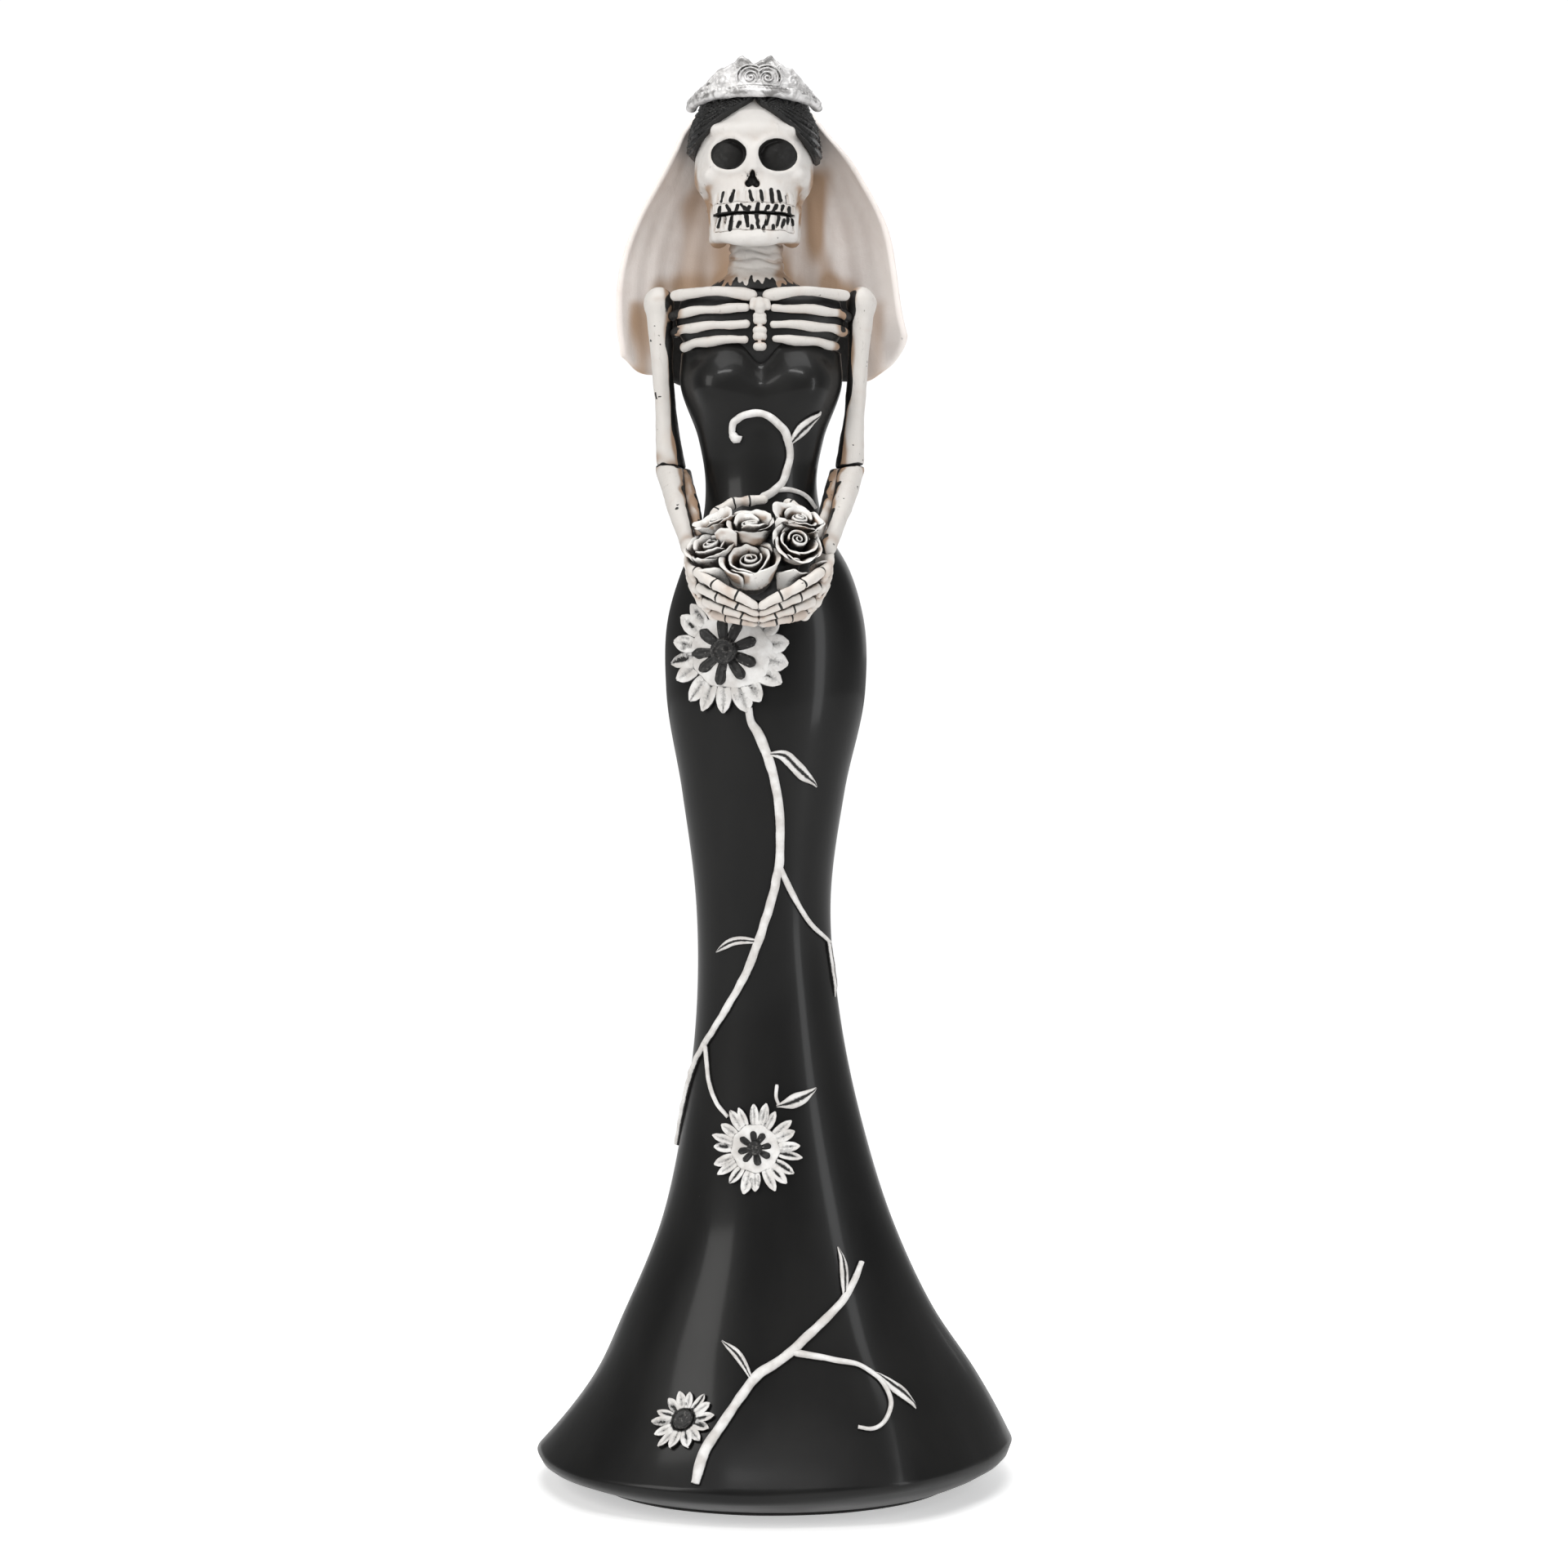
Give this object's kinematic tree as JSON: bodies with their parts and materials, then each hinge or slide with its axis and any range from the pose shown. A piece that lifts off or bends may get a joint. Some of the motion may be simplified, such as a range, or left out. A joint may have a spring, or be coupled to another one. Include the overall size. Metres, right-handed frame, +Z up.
{
  "type": "skeleton bride figurine",
  "caption": "Standing skeleton bride figurine in a fitted black gown with raised white flowers, a veil and a tiara, holding a bouquet of roses.",
  "frame": {"origin": "middle of the figure's footprint, on the surface it stands on", "axes": "+Z up, the figure faces -Y, its own right side is towards -X"},
  "size_m": [0.102, 0.0797, 0.3052],
  "materials": {
    "gown_black": "satin black paint on cast resin",
    "ink_black": "black paint on cast resin",
    "bone": "white paint with a grey and brown wash on cast resin",
    "ivory": "ivory paint with a brown wash on cast resin",
    "silver": "worn silver paint on cast resin",
    "felt": "black felt"
  },
  "bodies": {
    "root": {"gown": "gown_black", "chest_core": "ink_black", "hip_flower_star": "ink_black", "knee_flower_star": "ink_black", "hem_flower_centre": "ink_black", "right_hair": "ink_black", "left_hair": "ink_black", "bouquet_core": "ink_black", "felt_pad": "felt", "tiara_band": "silver", "tiara_crest": "silver", "tiara_heart": "silver", "veil": "ivory", "front_rose": "ivory", "right_rose": "ivory", "left_rose": "ivory", "top_rose": "ivory", "upper_right_rose": "ivory", "upper_left_rose": "ivory", "waist_vine": "bone", "thigh_vine": "bone", "hem_vine": "bone", "knee_bud_leaf": "bone", "hip_flower": "bone", "knee_flower": "bone", "hem_flower": "bone", "manubrium": "bone", "sternum": "bone", "neck_vertebrae": "bone", "skull": "bone", "jaw": "bone", "upper_teeth": "bone", "lower_teeth": "bone", "right_rib_1": "bone", "right_rib_2": "bone", "right_rib_3": "bone", "right_clavicle": "bone", "right_humerus": "bone", "right_radius": "bone", "right_ulna": "bone", "right_palm": "bone", "right_finger_1": "bone", "right_finger_2": "bone", "right_finger_3": "bone", "right_finger_4": "bone", "right_thumb": "bone", "left_rib_1": "bone", "left_rib_2": "bone", "left_rib_3": "bone", "left_clavicle": "bone", "left_humerus": "bone", "left_radius": "bone", "left_ulna": "bone", "left_palm": "bone", "left_finger_1": "bone", "left_finger_2": "bone", "left_finger_3": "bone", "left_finger_4": "bone", "left_thumb": "bone"}
  },
  "joints": []
}
